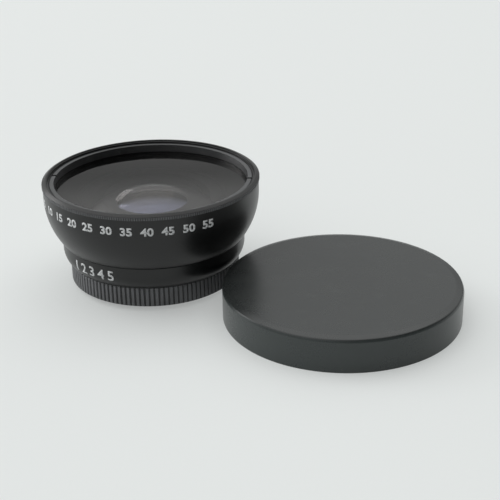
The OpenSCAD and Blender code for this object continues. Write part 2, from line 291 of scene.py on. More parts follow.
def rounded(corners, steps=4):
    """Outline through (r, z, fillet) corners, with each fillet drawn as a short arc."""
    outline = []
    for i, (r, z, fillet) in enumerate(corners):
        here = Vector((r, z))
        if fillet <= 0:
            outline.append((r, z))
            continue
        back = Vector(corners[i - 1][:2]) - here
        ahead = Vector(corners[(i + 1) % len(corners)][:2]) - here
        half = back.angle(ahead) / 2
        run = min(fillet / math.tan(half), FILLET_SHARE * back.length, FILLET_SHARE * ahead.length)
        start, end = here + back.normalized() * run, here + ahead.normalized() * run
        for k in range(steps + 1):
            t = k / steps
            outline.append(tuple(start * (1 - t) ** 2 + here * 2 * t * (1 - t) + end * t * t))
    return outline


def arc(centre_r, centre_z, radius, start, end, steps):
    """Corners along an arc of the half section, with no fillets. Angles are in radians from +r."""
    return [(centre_r + radius * math.cos(start + (end - start) * k / steps),
             centre_z + radius * math.sin(start + (end - start) * k / steps), 0) for k in range(steps + 1)]


def lean_radius(top, foot):
    """Radius of the arc that is upright at its top and passes its foot."""
    drop, height = top[0] - foot[0], top[1] - foot[1]
    return (drop ** 2 + height ** 2) / (2 * drop)


def leaning_arc(top, foot, steps):
    """Corners of a leaning arc from its foot up to its top."""
    curve = lean_radius(top, foot)
    return arc(top[0] - curve, top[1], curve, math.asin((foot[1] - top[1]) / curve), 0, steps)


def leaning_surface(z, top, foot):
    """Radius at height z of a leaning arc, which goes on upright above its top and below its foot."""
    curve = lean_radius(top, foot)
    below = min(max(0.0, top[1] - z), top[1] - foot[1])
    return top[0] - curve + math.sqrt(curve ** 2 - below ** 2)


def finished(name, mesh, material, body, nodes=()):
    """A named object at the origin that rides on its body and stands for its CAD nodes."""
    piece = bpy.data.objects.new(name, mesh)
    bpy.context.scene.collection.objects.link(piece)
    if not mesh.materials:
        mesh.materials.append(material)
    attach(piece, body)
    if nodes:
        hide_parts(*nodes)
    return piece


def held(outline, hold=0.4):
    """The outline with two points near each end of its long spans, which keeps its edges crisp."""
    points = []
    for start, end in zip(outline, outline[1:] + outline[:1]):
        points.append(start)
        span = math.dist(start, end)
        if span > LONG_SPAN * hold:
            for t in (hold / span, 2 * hold / span, 1 - 2 * hold / span, 1 - hold / span):
                points.append((start[0] + (end[0] - start[0]) * t, start[1] + (end[1] - start[1]) * t))
    return points


def spin(name, outline, steps, centre=(0, 0), crease=32):
    """Mesh of an outline in millimetres spun about a vertical axis. Points on the axis close to a pole."""
    mesh = bpy.data.meshes.new(name)
    shape = bmesh.new()
    rings = []
    for r, z in held(outline):
        if r < ON_AXIS:
            rings.append([shape.verts.new((centre[0] * MM, centre[1] * MM, z * MM))])
            continue
        ring = []
        for k in range(steps):
            a = 2 * math.pi * k / steps
            x, y = centre[0] + r * math.cos(a), centre[1] + r * math.sin(a)
            ring.append(shape.verts.new((x * MM, y * MM, z * MM)))
        rings.append(ring)
    for low, high in zip(rings, rings[1:] + rings[:1]):
        if len(low) == 1 and len(high) == 1:
            continue
        for k in range(steps):
            n = (k + 1) % steps
            corners = [low[k % len(low)], low[n % len(low)], high[n % len(high)], high[k % len(high)]]
            shape.faces.new(list(dict.fromkeys(corners)))
    bmesh.ops.recalc_face_normals(shape, faces=shape.faces[:])
    shape.to_mesh(mesh)
    shape.free()
    mesh.shade_smooth()
    mesh.set_sharp_from_angle(angle=math.radians(crease))
    return mesh


def with_slots(mesh, z, outer, crease=32):
    """The same ring with two spanner slots cut across it, centred on height z."""
    reach = outer + SLOT_OVERRUN
    ring = bpy.data.objects.new("ring", mesh)
    cutter_mesh = bpy.data.meshes.new("cutter")
    shape = bmesh.new()
    bmesh.ops.create_cube(shape, size=1)
    bmesh.ops.scale(shape, vec=(2 * reach * MM, SLOT_W * MM, 2 * SLOT_DEPTH * MM), verts=shape.verts[:])
    turn = Matrix.Rotation(SLOT_ANGLE, 4, "Z")
    bmesh.ops.transform(shape, matrix=Matrix.Translation((0, 0, z * MM)) @ turn, verts=shape.verts[:])
    shape.to_mesh(cutter_mesh)
    shape.free()
    cutter = bpy.data.objects.new("cutter", cutter_mesh)
    for piece in (ring, cutter):
        bpy.context.scene.collection.objects.link(piece)
    cut = ring.modifiers.new("slots", "BOOLEAN")
    cut.operation, cut.solver, cut.object = "DIFFERENCE", "EXACT", cutter
    result = plain_mesh(ring, mesh.name)
    bpy.data.objects.remove(cutter)
    result.shade_smooth()
    result.set_sharp_from_angle(angle=math.radians(crease))
    return result


def plain_mesh(piece, name):
    """The evaluated mesh of a piece, which is then removed with its modifiers."""
    bpy.context.view_layer.update()
    shown = piece.evaluated_get(bpy.context.evaluated_depsgraph_get())
    mesh = bpy.data.meshes.new_from_object(shown)
    mesh.name = name
    bpy.data.objects.remove(piece)
    return mesh


def painted_edge(mesh, clear_r, polished, paint):
    """Gives the ground edge of a lens, outside its clear radius in millimetres, a coat of black paint."""
    mesh.materials.append(polished)
    mesh.materials.append(paint)
    for face in mesh.polygons:
        if face.center.xy.length > clear_r * MM and face.normal.z < FACING_UP:
            face.material_index = 1
    return mesh


def ring_outline(outer, inner, low, high):
    """Outline of a retaining ring with bevelled outer edges."""
    return rounded([
        (inner, low, LEDGE_FILLET), (outer - RING_BEVEL, low, RING_FILLET),
        (outer, low + RING_BEVEL, RING_FILLET), (outer, high - RING_BEVEL, RING_FILLET),
        (outer - RING_BEVEL, high, RING_FILLET), (inner, high, EDGE_FILLET)])


def dome_z(pass_r, pass_z, curve, r, up=1):
    """Height at radius r of a spherical face through (pass_r, pass_z). It bulges down where up is -1."""
    return pass_z + up * (math.sqrt(curve ** 2 - r ** 2) - math.sqrt(curve ** 2 - pass_r ** 2))


def dome(pass_r, pass_z, curve, out_r, steps, up=1):
    """Corners of that face from the axis out to out_r."""
    radii = [out_r * k / steps for k in range(steps + 1)]
    return [(r, dome_z(pass_r, pass_z, curve, r, up), 0) for r in radii]


# Node trees for what repeats

class Tree:
    """A short way to add and link nodes in a node tree."""

    def __init__(self, node_tree):
        self.node_tree = node_tree

    def add(self, kind, links=None, **settings):
        """A new node with these settings, its inputs linked to sockets or set to values."""
        node = self.node_tree.nodes.new(kind)
        for key, value in settings.items():
            setattr(node, key, value)
        for socket, source in (links or {}).items():
            target = node.inputs[socket]
            if isinstance(source, bpy.types.NodeSocket):
                self.node_tree.links.new(source, target)
            else:
                target.default_value = source
        return node

    def math(self, operation, a, b=0.0, c=0.0):
        """Result of a Math node."""
        return self.add("ShaderNodeMath", {0: a, 1: b, 2: c}, operation=operation).outputs[0]

    def vector(self, operation, a, b=(0, 0, 0)):
        """Result of a Vector Math node."""
        node = self.add("ShaderNodeVectorMath", {0: a, 1: b}, operation=operation)
        return node.outputs["Value" if operation in ("LENGTH", "DOT_PRODUCT") else "Vector"]

    def xyz(self, x=0.0, y=0.0, z=0.0):
        """Vector of three values or sockets."""
        return self.add("ShaderNodeCombineXYZ", {0: x, 1: y, 2: z}).outputs[0]


def geometry_tree(name, inputs):
    """A Geometry Nodes tree with these (name, socket type, default) inputs, and its Tree helper."""
    group = bpy.data.node_groups.new(name, "GeometryNodeTree")
    group.interface.new_socket("Geometry", in_out="OUTPUT", socket_type="NodeSocketGeometry")
    for label, kind, default in inputs:
        socket = group.interface.new_socket(label, in_out="INPUT", socket_type=kind)
        if default is not None:
            socket.default_value = default
    tree = Tree(group)
    return group, tree, group.nodes.new("NodeGroupInput").outputs


def close_tree(tree, geometry, material, smooth=False):
    """Realize Instances, shading and Set Material, then the output."""
    real = tree.add("GeometryNodeRealizeInstances", {"Geometry": geometry})
    shaded = tree.add("GeometryNodeSetShadeSmooth", {"Geometry": real.outputs[0], "Shade Smooth": smooth})
    painted = tree.add("GeometryNodeSetMaterial", {"Geometry": shaded.outputs[0], "Material": material})
    tree.add("NodeGroupOutput", {"Geometry": painted.outputs[0]})


def rib_ring_tree():
    """Ribs that stand round a cylinder, tapering to their crest and bevelled at both ends."""
    group, tree, given = geometry_tree("Rib ring", [
        ("Count", "NodeSocketInt", 100), ("Root Radius", "NodeSocketFloat", 0.03),
        ("Depth", "NodeSocketFloat", 0.0004), ("Foot Width", "NodeSocketFloat", 0.001),
        ("Crest Share", "NodeSocketFloat", 0.5), ("Height", "NodeSocketFloat", 0.007),
        ("Base Z", "NodeSocketFloat", 0.0), ("End Bevel", "NodeSocketFloat", 0.0002),
        ("Sink", "NodeSocketFloat", 0.0001), ("Material", "NodeSocketMaterial", None)])
    ring = tree.add("GeometryNodeMeshCircle", {"Vertices": given["Count"], "Radius": given["Root Radius"]})
    middle = tree.math("MULTIPLY_ADD", given["Height"], 0.5, given["Base Z"])
    raised = tree.add("GeometryNodeSetPosition", {"Geometry": ring.outputs[0], "Offset": tree.xyz(z=middle)})
    bar = tree.add("GeometryNodeMeshCube", {
        "Size": (1, 1, 1), "Vertices X": 3, "Vertices Y": 2, "Vertices Z": 2})
    place = tree.add("ShaderNodeSeparateXYZ", {0: tree.add("GeometryNodeInputPosition").outputs[0]})
    x, y, z = place.outputs
    out = tree.math("MAXIMUM", tree.math("MULTIPLY", x, 2.0), 0.0)
    inward = tree.math("MAXIMUM", tree.math("MULTIPLY", x, -2.0), 0.0)
    new_x = tree.math("SUBTRACT", tree.math("MULTIPLY", out, given["Depth"]),
                      tree.math("MULTIPLY", inward, given["Sink"]))
    lost = tree.math("SUBTRACT", 1.0, given["Crest Share"])
    narrow = tree.math("SUBTRACT", 1.0, tree.math("MULTIPLY", out, lost))
    new_y = tree.math("MULTIPLY", tree.math("MULTIPLY", y, given["Foot Width"]), narrow)
    short = tree.math("SUBTRACT", given["Height"],
                      tree.math("MULTIPLY", out, tree.math("MULTIPLY", given["End Bevel"], 2.0)))
    new_z = tree.math("MULTIPLY", z, short)
    rib = tree.add("GeometryNodeSetPosition", {
        "Geometry": bar.outputs[0], "Position": tree.xyz(new_x, new_y, new_z)})
    flat = tree.vector("MULTIPLY", tree.add("GeometryNodeInputPosition").outputs[0], (1, 1, 0))
    facing = tree.add("FunctionNodeAlignRotationToVector", {"Vector": flat}, axis="X", pivot_axis="Z")
    placed = tree.add("GeometryNodeInstanceOnPoints", {
        "Points": raised.outputs[0], "Instance": rib.outputs[0], "Rotation": facing.outputs[0]})
    close_tree(tree, placed.outputs[0], given["Material"])
    return group


def thread_tree():
    """A right-handed screw thread: a ridge swept up a helix, fading out at both ends.

    Inward is 0 where the ridge stands on a shaft and 1 where it stands in a bore.
    """
    group, tree, given = geometry_tree("Screw thread", [
        ("Radius", "NodeSocketFloat", 0.026), ("Pitch", "NodeSocketFloat", 0.00075),
        ("Turns", "NodeSocketFloat", 2.0), ("Base Z", "NodeSocketFloat", 0.0),
        ("Depth", "NodeSocketFloat", 0.0004), ("Inward", "NodeSocketFloat", 0.0),
        ("Steps A Turn", "NodeSocketInt", 144), ("Material", "NodeSocketMaterial", None)])
    helix = tree.add("GeometryNodeCurveSpiral", {
        "Resolution": given["Steps A Turn"], "Rotations": given["Turns"], "Start Radius": given["Radius"],
        "End Radius": given["Radius"], "Height": tree.math("MULTIPLY", given["Turns"], given["Pitch"]),
        "Reverse": True})
    raised = tree.add("GeometryNodeSetPosition", {
        "Geometry": helix.outputs[0], "Offset": tree.xyz(z=given["Base Z"])})
    upright = tree.add("GeometryNodeSetCurveNormal", {"Curve": raised.outputs[0]}, mode="Z_UP")
    along = tree.add("GeometryNodeSplineParameter").outputs["Factor"]
    fades = tree.math("MULTIPLY", given["Turns"], THREAD_FADES_A_TURN)
    start = tree.math("MULTIPLY", along, fades)
    end = tree.math("MULTIPLY", tree.math("SUBTRACT", 1.0, along), fades)
    fade = tree.math("MINIMUM", tree.math("MINIMUM", start, end), 1.0)
    fading = tree.add("GeometryNodeSetCurveRadius", {
        "Curve": upright.outputs[0], "Radius": tree.math("MAXIMUM", fade, THREAD_THINNEST)})
    tooth = tree.add("GeometryNodeCurvePrimitiveQuadrilateral", {
        "Height": tree.math("MULTIPLY", given["Depth"], 2.0),
        "Bottom Width": given["Pitch"],
        "Top Width": tree.math("MULTIPLY", given["Pitch"], THREAD_CREST_SHARE),
        "Offset": 0.0}, mode="TRAPEZOID")
    side = tree.math("MULTIPLY_ADD", given["Inward"], math.pi, -QUARTER)
    turned = tree.add("GeometryNodeTransform", {"Geometry": tooth.outputs[0], "Rotation": tree.xyz(z=side)})
    swept = tree.add("GeometryNodeCurveToMesh", {
        "Curve": fading.outputs[0], "Profile Curve": turned.outputs[0],
        "Scale": tree.add("GeometryNodeInputRadius").outputs[0], "Fill Caps": True})
    close_tree(tree, swept.outputs[0], given["Material"])
    return group


def grown(name, group, **inputs):
    """Plain mesh of a Geometry Nodes tree run with these inputs, named with underscores for spaces."""
    carrier = bpy.data.objects.new(name, bpy.data.meshes.new(name))
    bpy.context.scene.collection.objects.link(carrier)
    modifier = carrier.modifiers.new(name, "NODES")
    modifier.node_group = group
    sockets = {s.name: s.identifier for s in group.interface.items_tree
               if s.item_type == "SOCKET" and s.in_out == "INPUT"}
    for label, value in inputs.items():
        modifier[sockets[label.replace("_", " ")]] = value
    return plain_mesh(carrier, name)


def rib_ring(name, body, root_r, low, high, count, depth, foot_share, crest_share, bevel):
    """Ribs round a cylinder between two heights. Depth is in metres, as on the panel."""
    spacing = 2 * math.pi * root_r * MM / count
    # Painted reflection: the ribs take the lighter rib colour, which stands in for the floor reflected in
    # them
    metal = finish("knurled_metal_painted_reflection")
    mesh = grown(name, tree_named("Rib ring", rib_ring_tree), Count=count, Root_Radius=root_r * MM,
                 Depth=depth, Foot_Width=spacing * foot_share, Crest_Share=crest_share,
                 Height=(high - low) * MM, Base_Z=low * MM, End_Bevel=bevel * MM, Sink=RIB_SINK * MM,
                 Material=metal)
    finished(name, mesh, metal, body)


def screw_thread(name, body, root_r, low, high, depth, inward=0.0):
    """Ridge of a screw thread on a cylinder between two heights. Depth is in metres, as on the panel."""
    pitch, metal = bpy.context.scene.lens_sizes.thread_pitch, finish("anodised_metal")
    mesh = grown(name, tree_named("Screw thread", thread_tree), Radius=root_r * MM, Pitch=pitch,
                 Turns=(high - low) * MM / pitch, Base_Z=low * MM, Depth=depth, Inward=inward,
                 Material=metal)
    finished(name, mesh, metal, body)


# Printed numbers

def printed_number(figures, angle, base_z, height, lean, bold, widen):
    """Mesh of a number printed on a leaning arc's surface, centred on an angle in radians."""
    words = bpy.data.curves.new("figures", "FONT")
    words.body, words.align_x, words.offset = figures, "CENTER", bold
    words.resolution_u = 4
    carrier = bpy.data.objects.new("figures", words)
    bpy.context.scene.collection.objects.link(carrier)
    flat = plain_mesh(carrier, "figures")
    bpy.data.curves.remove(words)
    shape = bmesh.new()
    shape.from_mesh(flat)
    bpy.data.meshes.remove(flat)
    low, high = min(v.co.y for v in shape.verts), max(v.co.y for v in shape.verts)
    scale = height / (high - low)
    middle_r = leaning_surface(base_z + height / 2, *lean)
    bands = 10
    for k in range(1, bands):
        parts = shape.verts[:] + shape.edges[:] + shape.faces[:]
        bmesh.ops.bisect_plane(shape, geom=parts, plane_co=(0, low + (high - low) * k / bands, 0),
                               plane_no=(0, 1, 0))
    solid = bmesh.ops.extrude_face_region(shape, geom=shape.faces[:])
    for part in solid["geom"]:
        if isinstance(part, bmesh.types.BMVert):
            part.co.z = 1.0
    for v in shape.verts:
        z = base_z + (v.co.y - low) * scale
        r = leaning_surface(z, *lean) + (v.co.z * (1 + INK_SUNK) - INK_SUNK) * INK_T
        a = angle + v.co.x * scale * widen / middle_r
        v.co = Vector((r * math.cos(a) * MM, r * math.sin(a) * MM, z * MM))
    bmesh.ops.recalc_face_normals(shape, faces=shape.faces[:])
    mesh = bpy.data.meshes.new("figures")
    shape.to_mesh(mesh)
    shape.free()
    return mesh


def joined(name, meshes):
    """One mesh of several, which are then removed."""
    shape = bmesh.new()
    for mesh in meshes:
        shape.from_mesh(mesh)
        bpy.data.meshes.remove(mesh)
    whole = bpy.data.meshes.new(name)
    shape.to_mesh(whole)
    shape.free()
    return whole


def printed_scale(name, body, unit, start, step, count, base_z, height, lean, bold, widen):
    """A row of numbers, each one unit more than the last. The base and height are in metres."""
    meshes = [printed_number(str(unit * (k + 1)), math.radians(FRONT_ANGLE + start + step * k), base_z / MM,
                             height / MM, lean, bold, widen) for k in range(count)]
    finished(name, joined(name, meshes), finish("white_ink"), body)


# Shader groups

def shader_group(name, inputs, outputs):
    """A shader node group with these (name, socket type, default) inputs and (name, type) outputs."""
    group = bpy.data.node_groups.new(name, "ShaderNodeTree")
    for label, kind, default in inputs:
        socket = group.interface.new_socket(label, in_out="INPUT", socket_type=kind)
        if default is not None:
            socket.default_value = default
    for label, kind in outputs:
        group.interface.new_socket(label, in_out="OUTPUT", socket_type=kind)
    return group, Tree(group), group.nodes.new("NodeGroupInput").outputs


def fine_grain_group():
    """Height and mask of a fine blasted or moulded grain."""
    group, tree, given = shader_group("Fine grain", [
        ("Vector", "NodeSocketVector", None), ("Grain Size", "NodeSocketFloat", 0.0003)],
        [("Height", "NodeSocketFloat"), ("Blotch", "NodeSocketFloat")])
    scale = tree.math("DIVIDE", 1.0, given["Grain Size"])
    grain = tree.add("ShaderNodeTexNoise", {
        "Vector": given["Vector"], "Scale": scale, "Detail": 3.0, "Roughness": 0.6})
    blotch = tree.add("ShaderNodeTexNoise", {"Vector": given["Vector"], "Scale": 90.0, "Detail": 4.0})
    spread = tree.add("ShaderNodeMapRange", {
        "Value": blotch.outputs[0], "From Min": 0.3, "From Max": 0.7})
    tree.add("NodeGroupOutput", {"Height": grain.outputs[0], "Blotch": spread.outputs[0]})
    return group


def turned_marks_group():
    """Height of the fine circular marks that a lathe tool leaves round the axis."""
    group, tree, given = shader_group("Turned marks", [
        ("Vector", "NodeSocketVector", None), ("Mark Spacing", "NodeSocketFloat", 0.00012)],
        [("Height", "NodeSocketFloat")])
    across = tree.vector("LENGTH", tree.vector("MULTIPLY", given["Vector"], (1, 1, 0)))
    up = tree.add("ShaderNodeSeparateXYZ", {0: given["Vector"]}).outputs["Z"]
    marks = tree.add("ShaderNodeTexNoise", {
        "Vector": tree.xyz(across, up), "Scale": tree.math("DIVIDE", 1.0, given["Mark Spacing"]),
        "Detail": 2.0}, noise_dimensions="2D")
    tree.add("NodeGroupOutput", {"Height": marks.outputs[0]})
    return group


def dust_group():
    """Mask of sparse specks of dust, in the share of cells that Amount gives."""
    group, tree, given = shader_group("Dust", [
        ("Vector", "NodeSocketVector", None), ("Spacing", "NodeSocketFloat", 0.003),
        ("Amount", "NodeSocketFloat", 0.1)], [("Mask", "NodeSocketFloat")])
    cells = tree.add("ShaderNodeTexVoronoi", {
        "Vector": given["Vector"], "Scale": tree.math("DIVIDE", 1.0, given["Spacing"])})
    speck = tree.add("ShaderNodeMapRange", {
        "Value": cells.outputs["Distance"], "From Min": 0.05, "From Max": 0.02})
    gate = tree.math("LESS_THAN", tree.add("ShaderNodeSeparateColor", {
        "Color": cells.outputs["Color"]}).outputs[0], given["Amount"])
    tree.add("NodeGroupOutput", {"Mask": tree.math("MULTIPLY", speck.outputs[0], gate)})
    return group


def rubs_group():
    """Mask of the faint smears that handling leaves in patches."""
    group, tree, given = shader_group("Rubs", [
        ("Vector", "NodeSocketVector", None), ("Amount", "NodeSocketFloat", 0.5)],
        [("Mask", "NodeSocketFloat")])
    patch = tree.add("ShaderNodeTexNoise", {"Vector": given["Vector"], "Scale": 160.0, "Detail": 5.0})
    patchy = tree.add("ShaderNodeMapRange", {"Value": patch.outputs[0], "From Min": 0.56, "From Max": 0.74})
    tree.add("NodeGroupOutput", {"Mask": tree.math("MULTIPLY", patchy.outputs[0], given["Amount"])})
    return group


def effect(tree, name, links):
    """Places a shared effect, made on first use, in a material's tree."""
    makers = {"Fine grain": fine_grain_group, "Turned marks": turned_marks_group,
              "Dust": dust_group, "Rubs": rubs_group}
    return tree.add("ShaderNodeGroup", links, node_tree=tree_named(name, makers[name])).outputs


# Materials

def start_material(name, centre=(0, 0, 0)):
    """A new material, its tree, its Principled shader, and object coordinates taken from a centre."""
    material = bpy.data.materials.new(name)
    material.use_nodes = True
    tree = Tree(material.node_tree)
    shader = material.node_tree.nodes["Principled BSDF"]
    coords = tree.add("ShaderNodeTexCoord").outputs["Object"]
    if any(centre):
        back = tuple(-c for c in centre)
        coords = tree.add("ShaderNodeMapping", {"Vector": coords, "Location": back}).outputs[0]
    return material, tree, shader, coords


def mixed_colour(tree, mask, a, b):
    """Colour a where the mask is 0 and b where it is 1."""
    a, b = (value if isinstance(value, bpy.types.NodeSocket) else (*value, 1) for value in (a, b))
    return tree.add("ShaderNodeMix", {0: mask, 6: a, 7: b}, data_type="RGBA").outputs[2]


def lighter(colour, times):
    """The colour with each part multiplied."""
    return tuple(part * times for part in colour)


def link(tree, source, shader, socket):
    """Feeds a shader's socket."""
    tree.node_tree.links.new(source, shader.inputs[socket])


def anodised_metal(name, colour, roughness, marks_t):
    """Satin black anodised aluminium: fine blasted grain, faint lathe marks, faint rubs and a few specks."""
    material, tree, shader, coords = start_material(name)
    grain = effect(tree, "Fine grain", {"Vector": coords, "Grain Size": 0.00022})
    marks = effect(tree, "Turned marks", {"Vector": coords, "Mark Spacing": 0.00016})
    rubs = effect(tree, "Rubs", {"Vector": coords, "Amount": 0.5})
    dust = effect(tree, "Dust", {"Vector": coords, "Spacing": 0.0024, "Amount": 0.07})
    shade = mixed_colour(tree, grain["Blotch"], colour, lighter(colour, 1.25))
    shade = mixed_colour(tree, rubs["Mask"], shade, lighter(colour, 2))
    shade = mixed_colour(tree, tree.math("MULTIPLY", dust["Mask"], 0.35), shade, DUST_COLOUR)
    link(tree, shade, shader, "Base Color")
    rough = tree.math("MULTIPLY_ADD", grain["Blotch"], 0.05, roughness)
    rough = tree.math("MULTIPLY_ADD", grain["Height"], 0.06, rough)
    link(tree, tree.math("MULTIPLY_ADD", dust["Mask"], 0.3, rough), shader, "Roughness")
    shader.inputs["Metallic"].default_value = 0.0
    shader.inputs["IOR"].default_value = METAL_IOR
    relief = tree.math("MULTIPLY_ADD", marks["Height"], 0.7, grain["Height"])
    bump = tree.add("ShaderNodeBump", {"Height": relief, "Distance": marks_t, "Strength": 1.0})
    link(tree, bump.outputs[0], shader, "Normal")
    return material


def coated_glass(name, tint, ior, body):
    """Polished optical glass with a tinted coating and a few specks of dust."""
    material, tree, shader, coords = start_material(name)
    grain = effect(tree, "Fine grain", {"Vector": coords, "Grain Size": 0.004})
    dust = effect(tree, "Dust", {"Vector": coords, "Spacing": 0.0032, "Amount": 0.05})
    link(tree, mixed_colour(tree, grain["Blotch"], body, lighter(body, 0.985)), shader, "Base Color")
    link(tree, tree.math("MULTIPLY", dust["Mask"], 0.25), shader, "Roughness")
    shader.inputs["Transmission Weight"].default_value = 1.0
    shader.inputs["Metallic"].default_value = 0.0
    shader.inputs["IOR"].default_value = ior
    shader.inputs["Specular Tint"].default_value = (*tint, 1)
    return material


def edge_paint(name):
    """Matt black paint on the ground edge of a glass, slightly uneven."""
    material, tree, shader, coords = start_material(name)
    grain = effect(tree, "Fine grain", {"Vector": coords, "Grain Size": 0.0003})
    black = (0.004, 0.004, 0.004)
    link(tree, mixed_colour(tree, grain["Blotch"], black, lighter(black, 1.5)), shader, "Base Color")
    link(tree, tree.math("MULTIPLY_ADD", grain["Height"], 0.1, 0.75), shader, "Roughness")
    shader.inputs["Specular IOR Level"].default_value = 0.15
    return material


def cap_plastic(name, colour, painted_side_reflection, roughness):
    """Matt moulded plastic: a fine even grain, specks of dust, and a side painted lighter than the top as a
    painted reflection of the floor.
    """
    material, tree, shader, coords = start_material(name, (CAP_X * MM, CAP_Y * MM, 0))
    grain = effect(tree, "Fine grain", {"Vector": coords, "Grain Size": 0.00035})
    rubs = effect(tree, "Rubs", {"Vector": coords, "Amount": 0.4})
    dust = effect(tree, "Dust", {"Vector": coords, "Spacing": 0.0034, "Amount": 0.08})
    shade = mixed_colour(tree, grain["Blotch"], colour, lighter(colour, 1.09))
    # Painted reflection: faces that turn sideways take the lighter side colour in place of the floor's
    # reflection
    normal = tree.add("ShaderNodeNewGeometry").outputs["Normal"]
    upward = tree.add("ShaderNodeSeparateXYZ", {0: normal}).outputs["Z"]
    side = tree.add("ShaderNodeMapRange", {"Value": upward, "From Min": 0.75, "From Max": 0.25}).outputs[0]
    shade = mixed_colour(tree, side, shade, painted_side_reflection)
    shade = mixed_colour(tree, rubs["Mask"], shade, lighter(colour, 1.6))
    shade = mixed_colour(tree, tree.math("MULTIPLY", dust["Mask"], 0.3), shade, DUST_COLOUR)
    link(tree, shade, shader, "Base Color")
    rough = tree.math("MULTIPLY_ADD", grain["Blotch"], 0.05, roughness)
    link(tree, tree.math("MULTIPLY_ADD", grain["Height"], 0.08, rough), shader, "Roughness")
    shader.inputs["IOR"].default_value = PLASTIC_IOR
    bump = tree.add("ShaderNodeBump", {"Height": grain["Height"], "Distance": 0.0000015, "Strength": 1.0})
    link(tree, bump.outputs[0], shader, "Normal")
    return material


def white_ink(name, colour):
    """Screen-printed white ink, slightly uneven."""
    material, tree, shader, coords = start_material(name)
    grain = effect(tree, "Fine grain", {"Vector": coords, "Grain Size": 0.00025})
    link(tree, mixed_colour(tree, grain["Blotch"], colour, lighter(colour, 0.93)), shader, "Base Color")
    link(tree, tree.math("MULTIPLY_ADD", grain["Height"], 0.15, 0.45), shader, "Roughness")
    bump = tree.add("ShaderNodeBump", {"Height": grain["Height"], "Distance": 0.000004, "Strength": 1.0})
    link(tree, bump.outputs[0], shader, "Normal")
    return material


def stage_floor(colour, glow):
    """Plain pale floor that the camera and reflections see paler than its own colour."""
    material, tree, shader, coords = start_material("pale_floor")
    weave = tree.add("ShaderNodeTexNoise", {"Vector": coords, "Scale": 900.0, "Detail": 2.0})
    link(tree, mixed_colour(tree, weave.outputs[0], colour, lighter(colour, 1.02)), shader, "Base Color")
    shader.inputs["Roughness"].default_value = 0.9
    shader.inputs["Specular IOR Level"].default_value = 0.1
    ray = tree.add("ShaderNodeLightPath").outputs
    seen = tree.math("MAXIMUM", ray["Is Camera Ray"], ray["Is Glossy Ray"])
    seen = tree.math("MAXIMUM", seen, ray["Is Transmission Ray"])
    shader.inputs["Emission Color"].default_value = (*colour, 1)
    link(tree, tree.math("MULTIPLY", seen, glow), shader, "Emission Strength")
    return material


def shaded_room(stage):
    """Pale surroundings, darker low down and on the photographer's right."""
    world = bpy.data.worlds.new("room")
    world.use_nodes = True
    tree = Tree(world.node_tree)
    way = tree.vector("NORMALIZE", tree.add("ShaderNodeTexCoord").outputs["Generated"])
    toward = tree.vector("DOT_PRODUCT", way, DARK_SIDE)
    side = tree.add("ShaderNodeMapRange", {
        "Value": toward, "From Min": DARK_EDGE, "From Max": DARK_CORE, "To Min": stage.room,
        "To Max": stage.shade}, interpolation_type="SMOOTHSTEP").outputs[0]
    height = tree.add("ShaderNodeSeparateXYZ", {0: way}).outputs["Z"]
    low = tree.add("ShaderNodeMapRange", {
        "Value": height, "From Min": math.sin(HORIZON_LOW), "From Max": math.sin(HORIZON_HIGH),
        "To Min": stage.horizon}, interpolation_type="SMOOTHSTEP").outputs[0]
    background = world.node_tree.nodes["Background"]
    background.inputs["Color"].default_value = ROOM_TINT
    world.node_tree.links.new(tree.math("MULTIPLY", side, low), background.inputs["Strength"])
    return world


def finish(name):
    """The material of that name, made on first use from the panel's colours."""
    if name in bpy.data.materials:
        return bpy.data.materials[name]
    look = bpy.context.scene.lens_finish
    makers = {
        "anodised_metal": lambda: anodised_metal(name, tuple(look.anodised), look.anodised_roughness,
                                                 METAL_MARKS),
        # Painted reflection: the grip ribs and the rim band ribs take the lighter rib colour
        "knurled_metal_painted_reflection": lambda: anodised_metal(name, tuple(look.knurl_painted_reflection), KNURL_ROUGHNESS, KNURL_MARKS),
        "ring_metal": lambda: anodised_metal(name, tuple(look.ring), look.anodised_roughness - RING_POLISH,
                                             RING_MARKS),
        "front_glass": lambda: coated_glass(name, tuple(look.front_coating), FRONT_IOR,
                                            tuple(look.front_body)),
        "inner_glass": lambda: coated_glass(name, tuple(look.inner_coating), INNER_IOR,
                                            tuple(look.inner_body)),
        "edge_paint": lambda: edge_paint(name),
        "moulded_plastic": lambda: cap_plastic(name, tuple(look.cap), tuple(look.cap_side_painted_reflection),
                                               look.cap_roughness),
        "white_ink": lambda: white_ink(name, tuple(look.ink)),
    }
    return makers[name]()


def tree_named(name, maker):
    """The node group of that name, made on first use."""
    return bpy.data.node_groups.get(name) or maker()


# Operators, one for each group of pieces

